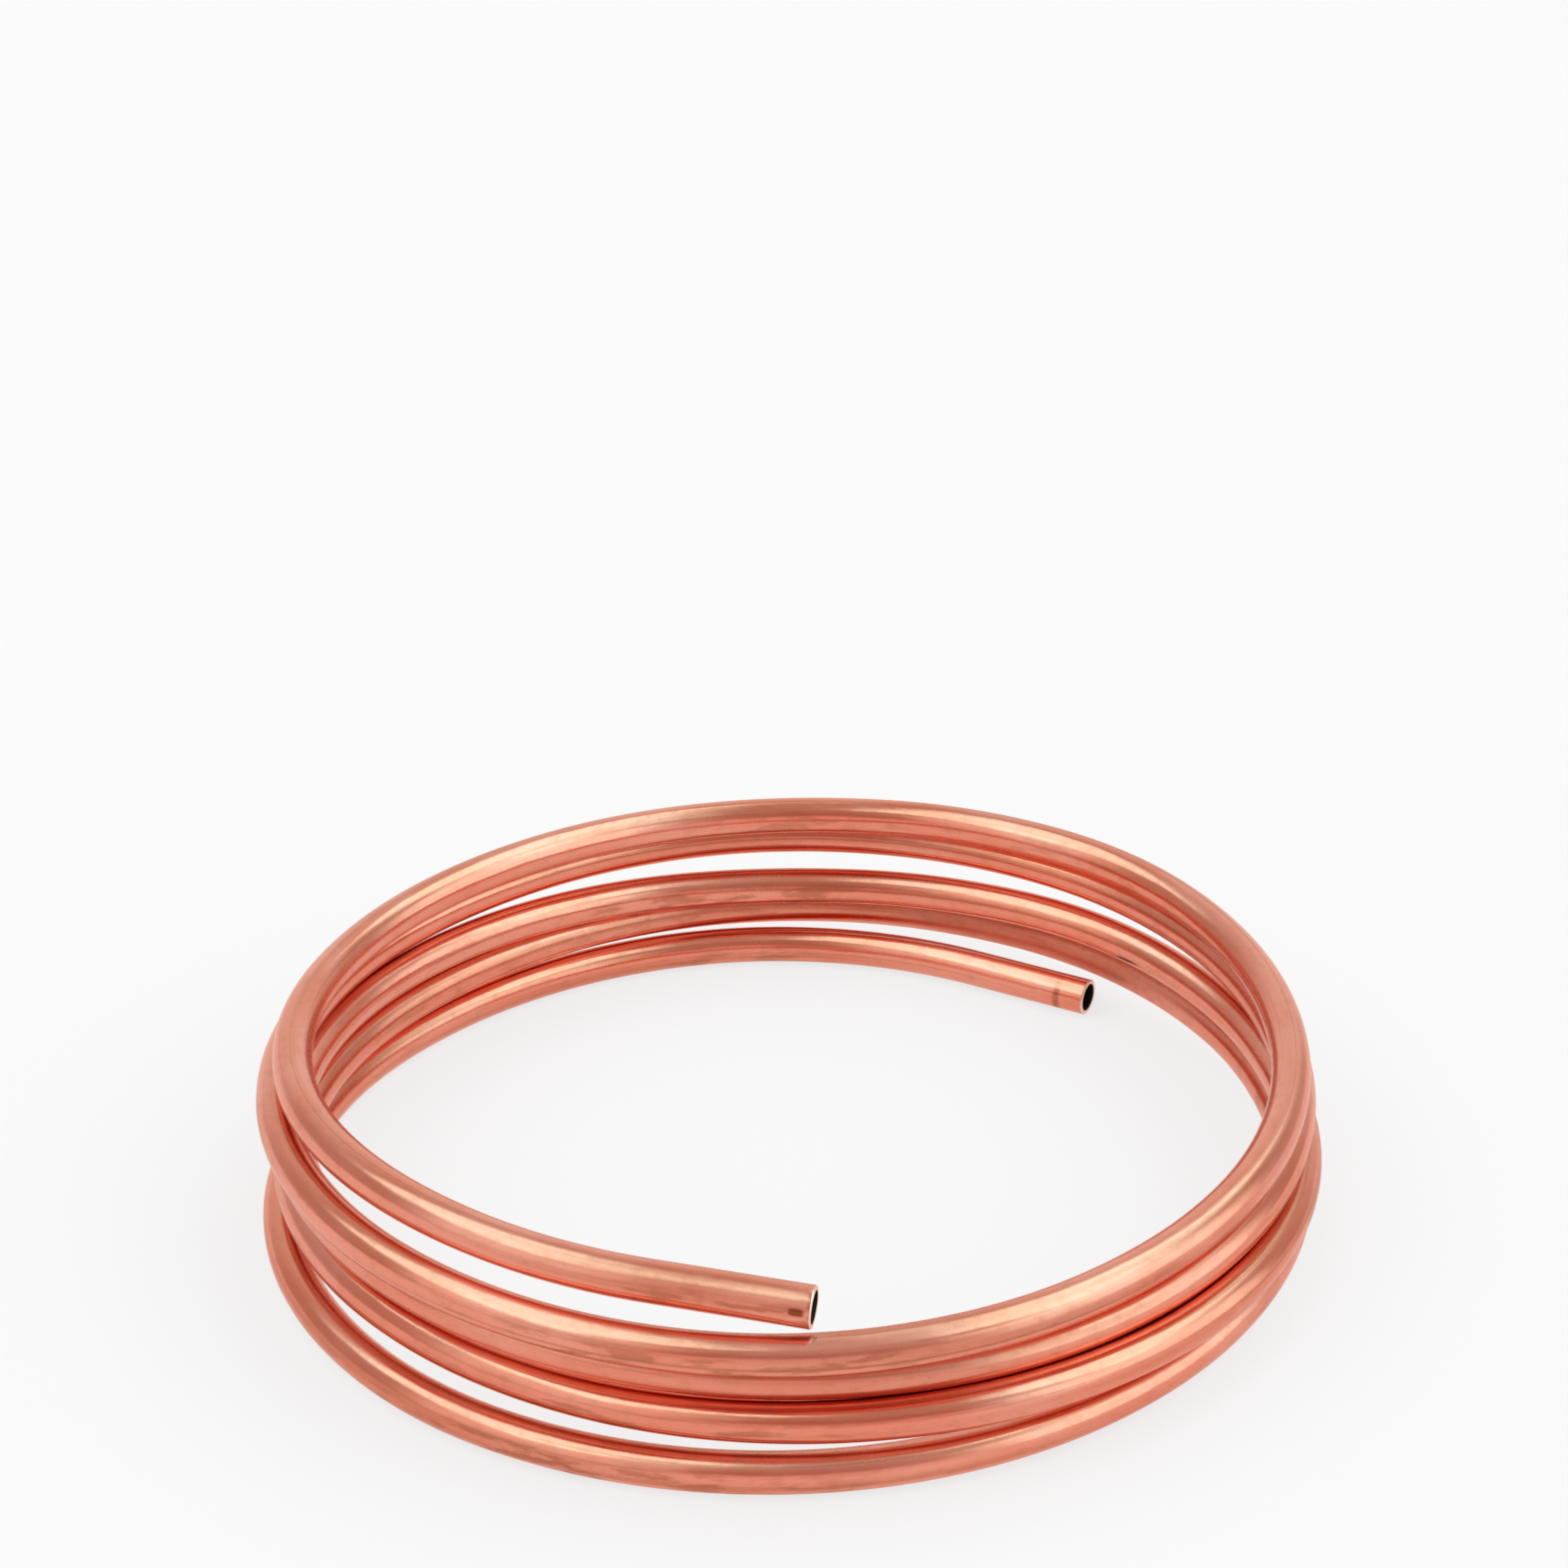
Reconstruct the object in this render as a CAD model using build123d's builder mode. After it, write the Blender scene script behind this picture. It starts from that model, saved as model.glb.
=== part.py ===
import math
import os

from build123d import *

os.makedirs("parts", exist_ok=True)

# Loose coil of soft copper tube, lying on a level floor, in millimetres.
# +Z is up, the floor is z = 0 and the viewer stands on the -Y side.

# The tube
tube_od = 12.0
wall = 1.5
tube_radius = tube_od / 2
bore_radius = tube_radius - wall
lip_round = 0.5
bore_break = 0.3

# The coil: angles are in degrees and count clockwise from the front, seen from above
coil_radius = 150.0
full_turn = 360
stations_per_turn = 8
station_angle = full_turn / stations_per_turn
front_angle = -90
arc_start = 14
arc_end = 1648
corner_count = 73
corner_angle = (arc_end - arc_start) / corner_count
arc_share = 0.98

# Both free ends leave the coil straight
top_end_straight = 45.0
low_end_straight = 42.0

# How far each turn wanders out from the coil radius, in tube diameters.
# One row is one turn, the top turn first, read at front, front left, left and so on.
wander = [
    [-0.20, 0.05, -0.15, -0.85, -0.50, 0.55, 0.35, 0.25],
    [0.55, 0.75, 0.25, -0.20, 0.10, 0.85, 0.60, 0.05],
    [-0.20, 0.05, 0.05, -0.65, -0.75, 0.40, 0.70, 0.80],
    [0.15, -0.05, 0.10, -0.60, -0.05, 0.95, 0.65, 0.40],
    [0.40, 0.70, 0.30, -0.60, -0.80, -0.85],
]

# How high each turn lies above the lowest one, in tube diameters, at the same places
level = [
    [4.50, 4.80, 4.25, 4.15, 4.00, 3.90, 3.60, 3.45],
    [3.30, 3.55, 3.35, 3.10, 3.10, 2.85, 2.55, 2.15],
    [2.20, 2.35, 2.30, 2.15, 1.85, 1.75, 1.40, 1.45],
    [1.20, 1.15, 1.05, 1.10, 0.90, 0.55, 0.35, 0.20],
    [0.00, 0.00, 0.00, 0.00, 0.00, 0.00],
]


def read_station(rows, angle):
    """Smooth value of a table of stations at any angle of the coil."""
    values = [value for row in rows for value in row]
    place = min(max(angle / station_angle, 0.0), len(values) - 1.0)
    index = min(int(place), len(values) - 2)
    share = place - index
    before = values[max(index - 1, 0)]
    here = values[index]
    there = values[index + 1]
    after = values[min(index + 2, len(values) - 1)]
    slope_here = (there - before) / 2
    slope_there = (after - here) / 2
    rise = there - here
    bend = 3 * rise - 2 * slope_here - slope_there
    twist = slope_here + slope_there - 2 * rise
    return here + slope_here * share + bend * share**2 + twist * share**3


def corner_point(angle):
    """Corner of the many-sided route that lies around the coil's centre line."""
    run_radius = coil_radius + tube_od * read_station(wander, angle)
    corner_radius = run_radius / math.cos(math.radians(corner_angle / 2))
    height = tube_radius + tube_od * max(read_station(level, angle), 0.0)
    turned = math.radians(front_angle - angle)
    return Vector(corner_radius * math.cos(turned), corner_radius * math.sin(turned), height)


def free_end(corner, corner_before, corner_beyond, straight):
    """Free end of the tube, straight on from the bend at the last corner."""
    half_run = (corner - corner_before).length / 2
    return corner + (corner_beyond - corner).normalized() * (half_run + straight)


# Corners of the route, and a free end beyond the first and the last of them
first_angle = arc_start + corner_angle / 2
last_angle = arc_end - corner_angle / 2
corners = [corner_point(first_angle + index * corner_angle) for index in range(corner_count)]
top_end = free_end(corners[0], corners[1], corner_point(first_angle - corner_angle), top_end_straight)
low_end = free_end(corners[-1], corners[-2], corner_point(last_angle + corner_angle), low_end_straight)
points = [top_end] + corners + [low_end]

# Each bend takes nearly half of the shorter run beside it
radii = []
for index in range(1, len(points) - 1):
    run_in = points[index] - points[index - 1]
    run_out = points[index + 1] - points[index]
    if index == 1:
        half = run_out.length / 2
    elif index == len(points) - 2:
        half = run_in.length / 2
    else:
        half = min(run_in.length, run_out.length) / 2
    turn = math.radians(run_in.get_angle(run_out))
    radii.append(arc_share * half / math.tan(turn / 2))

# The route is laid out once to find its middle, which then goes on the Z axis
with BuildLine() as laid_out:
    FilletPolyline(*points, radius=radii)
box_middle = laid_out.wires()[0].bounding_box().center()
to_middle = Vector(-box_middle.X, -box_middle.Y, 0)
points = [point + to_middle for point in points]

with BuildPart() as copper_tube:
    with BuildLine() as route:
        FilletPolyline(*points, radius=radii)
    with BuildSketch(Plane(origin=route.line @ 0, z_dir=route.line % 0)):
        Circle(tube_radius)
        Circle(bore_radius, mode=Mode.SUBTRACT)
    sweep(path=route.line)
    # Both cut ends: a rolled outer lip and a broken inner edge
    for end_point in (points[0], points[-1]):
        rims = copper_tube.edges().sort_by(lambda edge: (edge.center() - end_point).length)[:2]
        rims = rims.sort_by(SortBy.RADIUS)
        chamfer(rims[0], bore_break)
        fillet(rims[1], lip_round)

section_area = math.pi * (tube_radius**2 - bore_radius**2)
tube_length = route.wires()[0].length
print("tube length", round(tube_length, 1))
print("volume", round(copper_tube.part.volume, 1), "section x length", round(section_area * tube_length, 1))
print("top end", points[0], "points", -(points[1] - points[0]).normalized())
print("low end", points[-1], "points", (points[-1] - points[-2]).normalized())

copper_tube.part.label = "copper_tube"
export_step(copper_tube.part, "parts/copper_tube.step")
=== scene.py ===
import math

import bmesh
import bpy
from mathutils import Matrix, Vector


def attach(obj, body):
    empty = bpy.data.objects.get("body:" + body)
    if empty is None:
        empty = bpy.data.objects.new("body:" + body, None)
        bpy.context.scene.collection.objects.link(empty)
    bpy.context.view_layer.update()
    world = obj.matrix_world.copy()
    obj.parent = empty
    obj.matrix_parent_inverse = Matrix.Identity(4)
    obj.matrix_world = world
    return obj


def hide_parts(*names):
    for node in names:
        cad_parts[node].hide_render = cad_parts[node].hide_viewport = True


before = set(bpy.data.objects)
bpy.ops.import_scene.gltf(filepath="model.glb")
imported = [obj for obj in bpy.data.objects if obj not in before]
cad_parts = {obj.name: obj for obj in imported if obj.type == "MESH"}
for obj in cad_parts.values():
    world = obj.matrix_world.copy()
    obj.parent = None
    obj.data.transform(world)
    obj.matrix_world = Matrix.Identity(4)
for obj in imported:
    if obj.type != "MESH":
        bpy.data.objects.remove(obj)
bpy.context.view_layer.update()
print("frame loaded:", sorted(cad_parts))


# Node sockets that take Python's own operators

class Value:
    def __init__(self, graph, socket):
        self.graph = graph
        self.socket = socket

    def __add__(self, other):
        return self.graph.maths("ADD", self, other)

    def __radd__(self, other):
        return self.graph.maths("ADD", other, self)

    def __sub__(self, other):
        return self.graph.maths("SUBTRACT", self, other)

    def __rsub__(self, other):
        return self.graph.maths("SUBTRACT", other, self)

    def __mul__(self, other):
        return self.graph.maths("MULTIPLY", self, other)

    def __truediv__(self, other):
        return self.graph.maths("DIVIDE", self, other)

    def __lt__(self, other):
        return self.graph.maths("LESS_THAN", self, other)

    def __gt__(self, other):
        return self.graph.maths("GREATER_THAN", self, other)


class Graph:
    def __init__(self, tree):
        self.tree = tree
        tree.nodes.clear()

    def node(self, kind, settings=None, inputs=None, output=0):
        made = self.tree.nodes.new(kind)
        for name, value in (settings or {}).items():
            setattr(made, name, value)
        for name, value in (inputs or {}).items():
            if isinstance(value, Value):
                self.tree.links.new(value.socket, made.inputs[name])
            else:
                made.inputs[name].default_value = value
        return Value(self, made.outputs[output]) if made.outputs else made

    def maths(self, operation, first, second=0.0):
        return self.node("ShaderNodeMath", {"operation": operation}, {0: first, 1: second})

    def vectorMaths(self, operation, first, second=(0, 0, 0), output=0):
        return self.node("ShaderNodeVectorMath", {"operation": operation}, {0: first, 1: second}, output)

    def mixColour(self, factor, first, second):
        return self.node("ShaderNodeMix", {"data_type": "RGBA"}, {0: factor, 6: first, 7: second}, 2)

    def ramp(self, value, low, high, lowOut=0.0, highOut=1.0):      # a smooth step from lowOut to highOut
        settings = {"interpolation_type": "SMOOTHSTEP"}
        inputs = {0: value, 1: low, 2: high, 3: lowOut, 4: highOut}
        return self.node("ShaderNodeMapRange", settings, inputs)

    def noise(self, vector, stretch, seed, detail=2.0, roughness=0.5):      # stretch is grains per metre
        moved = self.node("ShaderNodeMapping", {}, {"Vector": vector, "Location": (seed, seed, seed),
                                                    "Scale": stretch})
        inputs = {"Vector": moved, "Scale": 1.0, "Detail": detail, "Roughness": roughness}
        return self.node("ShaderNodeTexNoise", {}, inputs)


# The coil: one length of tube, swept as a closed shell with its bore

coil = {
    "tubeRadius": 0.006,
    "wall": 0.0015,
    "lipRound": 0.0005,
    "boreBreak": 0.0003,
    "coilRadius": 0.150,
    "frontAngle": -90,
    "stationAngle": 45,        # degrees between two values in the rows below
    "arcStart": 14,            # degrees clockwise from the front, seen from above
    "arcEnd": 1648,
    "topStraight": 0.045,
    "lowStraight": 0.042,
    "cornerCount": 73,
    "sides": 40,
    "boreSkip": 2,             # the bore has one ring for so many outside
    "ringsPerCorner": 20,
    "lipSteps": 4,
    "weld": 1e-6,
    "wander": [                # how far out each turn lies, in tube diameters
        [-0.20, 0.05, -0.15, -0.85, -0.50, 0.55, 0.35, 0.25],
        [0.55, 0.75, 0.25, -0.20, 0.10, 0.85, 0.60, 0.05],
        [-0.20, 0.05, 0.05, -0.65, -0.75, 0.40, 0.70, 0.80],
        [0.15, -0.05, 0.10, -0.60, -0.05, 0.95, 0.65, 0.40],
        [0.40, 0.70, 0.30, -0.60, -0.80, -0.85],
    ],
    "level": [                 # how high it lies above the lowest turn; at the front, two turns touch
        [4.50, 4.80, 4.25, 4.15, 4.00, 3.90, 3.60, 3.45],
        [3.30, 3.55, 3.35, 3.10, 3.10, 2.85, 2.55, 2.15],
        [2.20, 2.35, 2.30, 2.15, 1.85, 1.75, 1.41, 1.48],
        [1.23, 1.15, 1.05, 1.10, 0.90, 0.55, 0.35, 0.20],
        [0.00, 0.00, 0.00, 0.00, 0.00, 0.00],
    ],
}


def readStation(rows, angle):
    values = [value for row in rows for value in row]
    place = min(max(angle / coil["stationAngle"], 0.0), len(values) - 1.0)
    index = min(int(place), len(values) - 2)
    share = place - index
    before, here, there = values[max(index - 1, 0)], values[index], values[index + 1]
    after = values[min(index + 2, len(values) - 1)]
    slopeHere, slopeThere, rise = (there - before) / 2, (after - here) / 2, there - here
    bend = 3 * rise - 2 * slopeHere - slopeThere
    twist = slopeHere + slopeThere - 2 * rise
    return here + slopeHere * share + bend * share**2 + twist * share**3


def cornerPoint(angle, cornerAngle):
    diameter = 2 * coil["tubeRadius"]
    runRadius = coil["coilRadius"] + diameter * readStation(coil["wander"], angle)
    radius = runRadius / math.cos(math.radians(cornerAngle / 2))
    height = coil["tubeRadius"] + diameter * max(readStation(coil["level"], angle), 0.0)
    turned = math.radians(coil["frontAngle"] - angle)
    return Vector((radius * math.cos(turned), radius * math.sin(turned), height))


def freeEnd(corner, cornerBefore, cornerBeyond, straight):
    halfRun = (corner - cornerBefore).length / 2
    return corner + (cornerBeyond - corner).normalized() * (halfRun + straight)


def routePoints():                     # corners of the route, one more beyond each end, and the free ends
    count = coil["cornerCount"]
    cornerAngle = (coil["arcEnd"] - coil["arcStart"]) / count
    angles = [coil["arcStart"] + cornerAngle * (index - 0.5) for index in range(count + 2)]
    points = [cornerPoint(angle, cornerAngle) for angle in angles]
    top = freeEnd(points[1], points[2], points[0], coil["topStraight"])
    low = freeEnd(points[-2], points[-3], points[-1], coil["lowStraight"])
    return [top] + points + [low]


def tubeLine():                        # a smooth line through the route, read from a NURBS spline
    points = routePoints()
    curve = bpy.data.curves.new("tubeLine", "CURVE")
    curve.dimensions = "3D"
    spline = curve.splines.new("NURBS")
    spline.points.add(len(points) - 1)
    for place, point in zip(spline.points, points):
        place.co = (*point, 1)
    spline.order_u = 3
    spline.use_endpoint_u = True
    spline.resolution_u = coil["ringsPerCorner"]
    holder = bpy.data.objects.new("tubeLine", curve)
    bpy.context.scene.collection.objects.link(holder)
    bpy.context.view_layer.update()
    read = bpy.data.meshes.new_from_object(holder)
    line = [vert.co.copy() for vert in read.vertices]
    bpy.data.objects.remove(holder)
    lowest = [min(point[axis] for point in line) for axis in range(2)]
    highest = [max(point[axis] for point in line) for axis in range(2)]
    middle = Vector([(a + b) / 2 for a, b in zip(lowest, highest)] + [0])
    return [point - middle for point in line]


def placeRings(line):
    rings, along = [], 0.0
    for index, point in enumerate(line):
        if index:
            along += (point - line[index - 1]).length
        ahead = line[min(index + 1, len(line) - 1)] - line[max(index - 1, 0)]
        ahead.normalize()
        side = ahead.cross(Vector((0, 0, 1))).normalized()
        up = side.cross(ahead)
        place = Matrix((side, up, ahead)).transposed().to_4x4()
        place.translation = point
        rings.append((place, along))
    return rings


def mouth(place, end, inwards):        # rings over the lip, across the cut and into the bore
    outer, bore = coil["tubeRadius"], coil["tubeRadius"] - coil["wall"]
    lip, broken = coil["lipRound"], coil["boreBreak"]
    steps = []
    for index in range(coil["lipSteps"] + 1):
        turn = math.pi / 2 * index / coil["lipSteps"]
        steps.append((lip * (1 - math.sin(turn)), outer - lip * (1 - math.cos(turn))))
    steps += [(0.0, (outer - lip + bore + broken) / 2), (0.0, bore + broken), (broken, bore)]
    return [(place @ Matrix.Translation((0, 0, inwards * deep)), end + inwards * deep, radius)
            for deep, radius in steps]


def sweepTube():                       # a grid rolled round the section and along the line, closed on itself
    rings = placeRings(tubeLine())
    length = rings[-1][1]
    outer, bore = coil["tubeRadius"], coil["tubeRadius"] - coil["wall"]
    steps = [(place, along, outer) for place, along in rings[1:-1]]
    steps += mouth(rings[-1][0], length, -1)
    steps += [(place, along, bore) for place, along in rings[-2:1:-coil["boreSkip"]]]
    steps += mouth(rings[0][0], 0.0, 1)[::-1]
    count, sides = len(steps), coil["sides"]
    shell = bmesh.new()
    toCounts = Matrix.Diagonal((count, sides, 1, 1)) @ Matrix.Translation((0.5, 0.5, 0))
    bmesh.ops.create_grid(shell, x_segments=count, y_segments=sides, size=0.5, matrix=toCounts)
    straightened = shell.verts.layers.float_vector.new("straightened")
    for vert in shell.verts:
        place, along, radius = steps[round(vert.co.x) % count]
        turn = math.tau * round(vert.co.y) / sides
        section = Vector((radius * math.cos(turn), radius * math.sin(turn), 0))
        vert[straightened] = Vector((along, section.x, section.y))
        vert.co = place @ section
    bmesh.ops.remove_doubles(shell, verts=shell.verts, dist=coil["weld"])
    bmesh.ops.recalc_face_normals(shell, faces=shell.faces)
    for face in shell.faces:
        face.smooth = True
    mesh = bpy.data.meshes.new("copperTube")
    shell.to_mesh(mesh)
    shell.free()
    piece = bpy.data.objects.new("copperTube", mesh)
    bpy.context.scene.collection.objects.link(piece)
    return piece, length


copperTube, tubeLength = sweepTube()
print("tube swept:", round(tubeLength, 4), "m,", len(copperTube.data.polygons), "faces")


# Drawn copper: die lines along the tube, a thin uneven tarnish, handling marks, cut ends

copper = {
    "base": (0.870, 0.325, 0.230, 1),
    "pink": (0.900, 0.395, 0.305, 1),
    "brown": (0.560, 0.205, 0.125, 1),
    "burnt": (0.300, 0.075, 0.035, 1),
    # the cut faces: bright cut copper, paled further by a painted highlight
    "cutFaceWithHighlight": (0.98, 0.80, 0.72, 1),
    # painted shade: the bore is coloured near black for the dark inside of the tube
    "bore": (0.012, 0.008, 0.007, 1),
    "roughness": 0.20,
    "boreRoughness": 0.9,
    "boreMetallic": 0.4,
    "grains": {                # grains per metre along and across, then seed, detail and roughness
        "fineLines": ((6, 1800, 1800), 11, 3.0, 0.6),
        "broadLines": ((5, 300, 300), 23, 2.0),
        "drawLines": ((2, 700, 700), 91, 1.0),
        "clouds": ((18, 60, 60), 37, 3.0, 0.55),
        "mottle": ((240, 420, 420), 41, 4.0, 0.6),
        "dents": ((45, 190, 190), 59, 2.0),
        "stains": ((60, 300, 300), 71, 3.0, 0.6),
        "stainedAreas": ((9, 40, 40), 83, 2.0),
        "waves": ((24, 40, 40), 67, 1.0),
    },
    "relief": {                # how high each grain stands, in metres
        "fineLines": 0.000004,
        "broadLines": 0.00011,
        "waves": 0.0006,
        "dents": 0.00013,
        "mottle": 0.000016,
    },
    "browned": {               # where a grain begins to brown the metal, where it ends, and by how much
        "broadLines": (0.48, 0.72, 0.5),
        "drawLines": (0.64, 0.74, 0.5),
        "mottle": (0.45, 0.80, 0.3),
    },
    "sheen": {                 # how far each grain changes the roughness
        "clouds": 0.20,
        "mottle": 0.12,
        "fineLines": 0.12,
    },
    "cloudEdge": (0.38, 0.64),
    "stains": 0.8,
    "stainEdge": (0.47, 0.62),
    "stainedEdge": (0.46, 0.64),
    "stainedShare": 0.7,       # how dark the stains get outside the places below
    # where the stains are darkest: place along the tube and half length
    "stained": [(0.02, 0.03), (0.985, 0.06), (2.35, 0.05), (2.90, 0.05), (3.88, 0.07)],
    "stainedUpTo": (0.0, 0.75, 1.0, 0.15),     # the stains fade out towards the top of the tube
    "brownRoughness": 0.10,
    "cutRoughness": 0.20,
    "dulled": (3.44, 0.06),    # where handling has taken the shine off
    "dullRoughness": 0.35,
    "smudge": (0.0040, 0.25),  # beside the top cut: its place along, and how far up the side
    "smudgeHalf": (0.0024, 0.20),
    "smudgeEdge": (0.15, 0.95),
    "markFromEnd": 0.0095,     # the ring that the cutter's rollers left beside the low cut
    "markWidth": 0.0024,
    "markUpTo": (0.50, 0.75, 1.0, 0.2),
    "mark": 0.7,
    "cutDepth": 0.7,           # the cut face begins within this share of the lip
    "cutMargin": 0.0001,
    "boreDepth": 0.6,          # the bore begins within this share of the broken edge
}


def nearPlace(graph, value, place, half):      # 1 at the place, 0 beyond its half length
    return graph.ramp(graph.maths("ABSOLUTE", value - place), 0.4 * half, 1.4 * half, 1.0, 0.0)


def staining(graph, grain, along, upward):     # blotches here and there, darker at the stained places
    blotches = graph.ramp(grain["stains"], *copper["stainEdge"])
    share = graph.ramp(grain["stainedAreas"], *copper["stainedEdge"]) * copper["stainedShare"]
    for place, half in copper["stained"]:
        share = share + nearPlace(graph, along, place, half)
    return blotches * graph.maths("MINIMUM", share, 1.0) * graph.ramp(upward, *copper["stainedUpTo"])


def handMarks(graph, grain, along, upward):    # the ring beside the low cut, the smudge beside the top one
    mark = nearPlace(graph, along, tubeLength - copper["markFromEnd"], copper["markWidth"] / 2)
    mark = mark * graph.ramp(upward, *copper["markUpTo"]) * (grain["mottle"] + 0.3)
    (place, height), (halfLength, halfHeight) = copper["smudge"], copper["smudgeHalf"]
    smudge = nearPlace(graph, along, place, halfLength) * nearPlace(graph, upward, height, halfHeight)
    smudge = graph.ramp(smudge * (grain["mottle"] + 0.5), *copper["smudgeEdge"])
    return graph.maths("MINIMUM", mark * copper["mark"] + smudge, 1.0)


def makeCopper():
    material = bpy.data.materials.new("drawnCopper")
    material.use_nodes = True
    graph = Graph(material.node_tree)
    flat = graph.node("ShaderNodeAttribute", {"attribute_name": "straightened"}, output=1)
    along = graph.node("ShaderNodeSeparateXYZ", {}, {0: flat})
    upward = graph.node("ShaderNodeSeparateXYZ", {}, {0: flat}, output=2) / coil["tubeRadius"]
    across = graph.vectorMaths("MULTIPLY", flat, (0, 1, 1))
    fromAxis = graph.vectorMaths("LENGTH", across, output=1)
    fromEnd = graph.maths("MINIMUM", along, tubeLength - along)
    grain = {name: graph.noise(flat, *values) for name, values in copper["grains"].items()}

    brownness = staining(graph, grain, along, upward) * copper["stains"]
    for name, (low, high, share) in copper["browned"].items():
        brownness = brownness + graph.ramp(grain[name], low, high) * share
    colour = graph.mixColour(graph.ramp(grain["clouds"], *copper["cloudEdge"]), copper["base"], copper["pink"])
    colour = graph.mixColour(graph.maths("MINIMUM", brownness, 1.0), colour, copper["brown"])
    colour = graph.mixColour(handMarks(graph, grain, along, upward), colour, copper["burnt"])

    boreRadius = coil["tubeRadius"] - coil["wall"]
    onFace = fromAxis > boreRadius + copper["cutMargin"]
    cut = (fromEnd < coil["lipRound"] * copper["cutDepth"]) * onFace
    # the cut faces take a bright copper colour, paled by a painted highlight
    colour = graph.mixColour(cut, colour, copper["cutFaceWithHighlight"])
    # painted shade: the bore is coloured near black, standing in for the shade inside the tube
    inBore = fromAxis < boreRadius + coil["boreBreak"] * copper["boreDepth"]
    colour = graph.mixColour(inBore, colour, copper["bore"])

    roughness = copper["roughness"] + brownness * copper["brownRoughness"] + cut * copper["cutRoughness"]
    for name, share in copper["sheen"].items():
        roughness = roughness + (grain[name] - 0.5) * share
    roughness = roughness + nearPlace(graph, along, *copper["dulled"]) * copper["dullRoughness"]
    roughness = roughness * (1 - inBore) + inBore * copper["boreRoughness"]
    metallic = 1 - inBore * (1 - copper["boreMetallic"])

    height = 0.0
    for name, rise in copper["relief"].items():
        height = grain[name] * rise + height
    bump = graph.node("ShaderNodeBump", {}, {"Strength": 1.0, "Distance": 1.0, "Height": height})
    shader = graph.node("ShaderNodeBsdfPrincipled", {}, {
        "Base Color": colour,
        "Metallic": metallic,
        "Roughness": roughness,
        "Normal": bump,
    })
    graph.node("ShaderNodeOutputMaterial", {}, {"Surface": shader})
    return material


copperTube.data.materials.append(makeCopper())
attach(copperTube, "root")
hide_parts("copper_tube")
print("copper finished")


# The studio: a pale floor, a white backdrop and soft panels round a dim room

studio = {
    "floorSize": 8.0,
    "white": 0.95,             # floor and backdrop as the camera sees them
    "floorAlbedo": 0.63,       # lit by the panels, this gives the same white
    "shadowShare": 0.22,       # how much of the floor's own shading is seen
    "mirroredFloor": (0.88, 0.69, 0.60, 1),     # the floor as the metal mirrors it, warm from the coil itself
    "dimRoom": (0.45, 0.25, 0.205, 1),     # what the metal mirrors on the camera's side
    "sides": (0.53, 0.395, 0.335, 1),
    "backdrop": (0.84, 0.81, 0.74, 1),
    "sidesFrom": (-0.95, -0.55),       # how far back the room turns into its sides, and they into the backdrop
    "backdropFrom": (0.45, 0.95),
    "fill": 0.90,              # what lights the floor from all round
    "leastDepth": 0.02,        # keeps a panel's light out of the directions beside and behind it
    "panels": [                # "round" is degrees from the camera's side, positive to the right
        {"round": -83, "up": 63, "half": (0.56, 0.40), "soft": 0.05,
         "strength": 1.48, "tint": (0.52, 1.0, 0.94, 1)},
        {"round": 109, "up": 59, "half": (0.62, 0.28), "soft": 0.08,
         "strength": 1.72, "tint": (0.52, 1.0, 0.94, 1)},
        {"round": 74, "up": 13, "half": (0.62, 0.56), "soft": 0.20,
         "strength": 1.24, "tint": (0.63, 1.0, 0.96, 1)},
        {"round": -50, "up": 27, "half": (0.48, 0.43), "soft": 0.18,
         "strength": 0.54, "tint": (0.80, 1.0, 0.95, 1)},
        {"round": 8, "up": 5, "half": (0.57, 0.22), "soft": 0.12,
         "strength": 0.37, "tint": (1.10, 1.0, 0.95, 1)},
    ],
}


def lightPath(graph, name):
    return graph.node("ShaderNodeLightPath", output=name)


def seenDirectly(graph):               # 1 for camera, mirror and glass rays
    direct = [lightPath(graph, name) for name in ("Is Camera Ray", "Is Glossy Ray", "Is Transmission Ray")]
    return graph.maths("MINIMUM", direct[0] + direct[1] + direct[2], 1.0)


def makeFloor():
    shell = bmesh.new()
    bmesh.ops.create_grid(shell, x_segments=1, y_segments=1, size=studio["floorSize"] / 2)
    mesh = bpy.data.meshes.new("floor")
    shell.to_mesh(mesh)
    shell.free()
    floor = bpy.data.objects.new("floor", mesh)
    bpy.context.scene.collection.objects.link(floor)
    material = bpy.data.materials.new("paleFloor")
    material.use_nodes = True
    graph = Graph(material.node_tree)
    grey, white = studio["floorAlbedo"], studio["white"]
    matte = graph.node("ShaderNodeBsdfDiffuse", {}, {"Color": (grey, grey, grey, 1)})
    mirrored = lightPath(graph, "Is Glossy Ray")
    paleness = graph.mixColour(mirrored, (white, white, white, 1), studio["mirroredFloor"])
    glow = graph.node("ShaderNodeEmission", {}, {"Color": paleness})
    share = seenDirectly(graph) * (1 - studio["shadowShare"])
    surface = graph.node("ShaderNodeMixShader", {}, {0: share, 1: matte, 2: glow})
    graph.node("ShaderNodeOutputMaterial", {}, {"Surface": surface})
    floor.data.materials.append(material)


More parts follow.
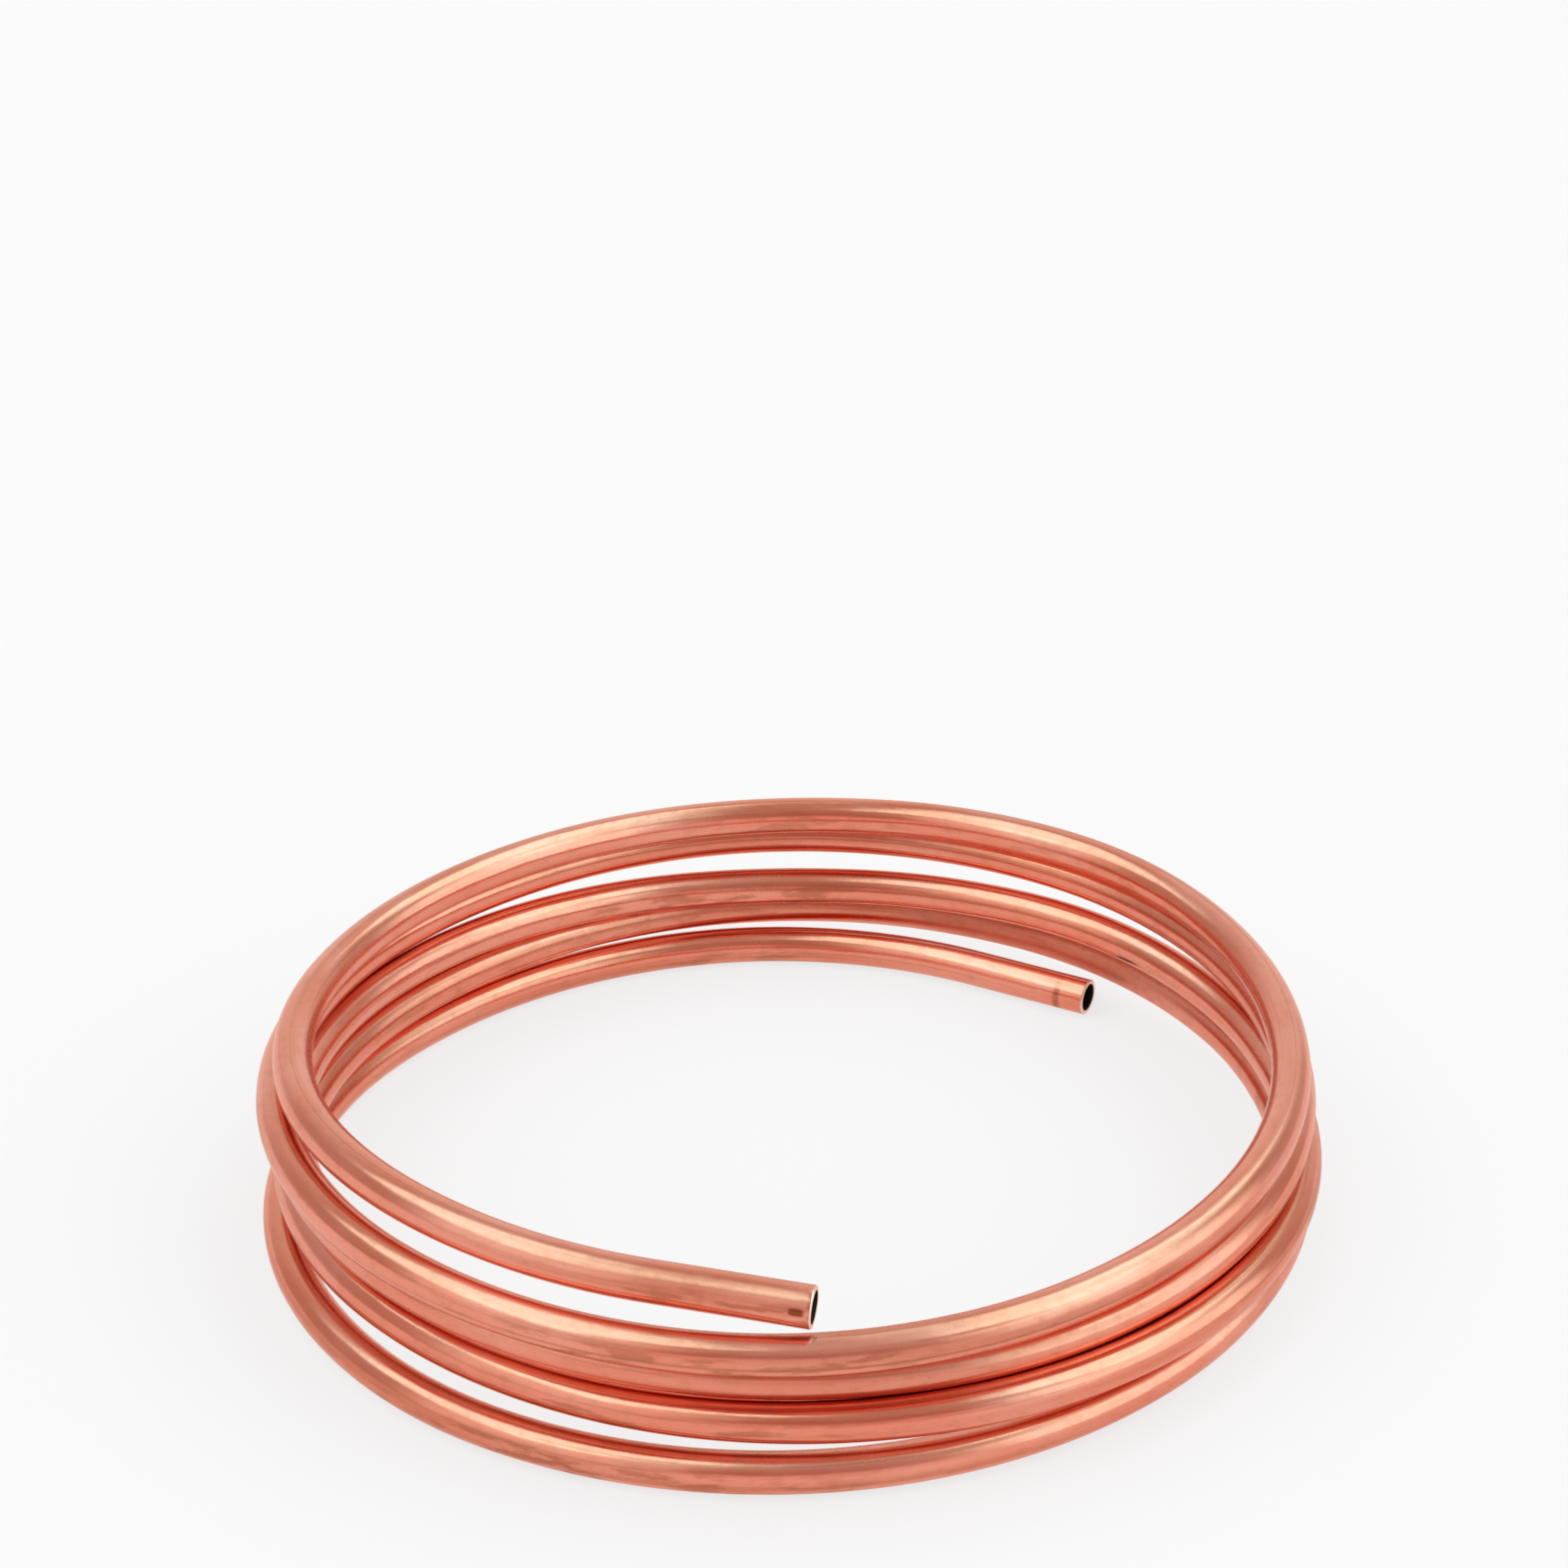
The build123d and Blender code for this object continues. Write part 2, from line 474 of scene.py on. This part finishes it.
def panelGlow(graph, direction, panel):        # a flat panel's light, as seen along a direction
    turned, raised = math.radians(panel["round"]), math.radians(panel["up"])
    level = math.cos(raised)
    facing = Vector((math.sin(turned) * level, -math.cos(turned) * level, math.sin(raised)))
    across = facing.cross(Vector((0, 0, 1))).normalized()
    depth = graph.vectorMaths("DOT_PRODUCT", direction, facing, output=1)
    depth = graph.maths("MAXIMUM", depth, studio["leastDepth"])
    glow = panel["strength"]
    for axis, half in zip((across, across.cross(facing)), panel["half"]):
        place = graph.vectorMaths("DOT_PRODUCT", direction, axis, output=1) / depth
        edge = graph.maths("ABSOLUTE", place)
        glow = graph.ramp(edge, half - panel["soft"], half + panel["soft"], 1.0, 0.0) * glow
    return glow


def makeWorld():
    world = bpy.data.worlds.new("studio")
    world.use_nodes = True
    graph = Graph(world.node_tree)
    direction = graph.node("ShaderNodeTexCoord", {}, output=0)
    backward = graph.vectorMaths("DOT_PRODUCT", direction, (0, 1, 0), output=1)
    room = graph.mixColour(graph.ramp(backward, *studio["sidesFrom"]), studio["dimRoom"], studio["sides"])
    room = graph.mixColour(graph.ramp(backward, *studio["backdropFrom"]), room, studio["backdrop"])
    fill, white = [(studio[name], studio[name], studio[name], 1) for name in ("fill", "white")]
    mirrored = lightPath(graph, "Is Glossy Ray")
    room = graph.mixColour(mirrored, fill, room)
    lit = room
    for panel in studio["panels"]:
        tint = graph.mixColour(mirrored, (1, 1, 1, 1), panel["tint"])
        glow = graph.vectorMaths("MULTIPLY", panelGlow(graph, direction, panel), tint)
        lit = graph.vectorMaths("ADD", lit, glow)
    seen = graph.mixColour(lightPath(graph, "Is Camera Ray"), lit, white)
    background = graph.node("ShaderNodeBackground", {}, {"Color": seen})
    graph.node("ShaderNodeOutputWorld", {}, {"Surface": background})
    bpy.context.scene.world = world


makeFloor()
makeWorld()
bpy.context.scene.view_settings.view_transform = "Standard"
print("studio set")


# The camera, found from the edges of the tube in the photo

view = {
    "at": (-0.00294, -0.93427, 0.60721),
    "down": 26.59,             # degrees below level
    "roll": -0.05,
    "lens": 81.55,
    "sensor": 36.0,
    "clipStart": 0.05,
}


def makeCamera():
    data = bpy.data.cameras.new("camera")
    data.lens = view["lens"]
    data.sensor_width = view["sensor"]
    data.clip_start = view["clipStart"]
    camera = bpy.data.objects.new("camera", data)
    camera.location = view["at"]
    camera.rotation_euler = (math.radians(90 - view["down"]), math.radians(view["roll"]), 0)
    bpy.context.scene.collection.objects.link(camera)
    bpy.context.scene.camera = camera


makeCamera()
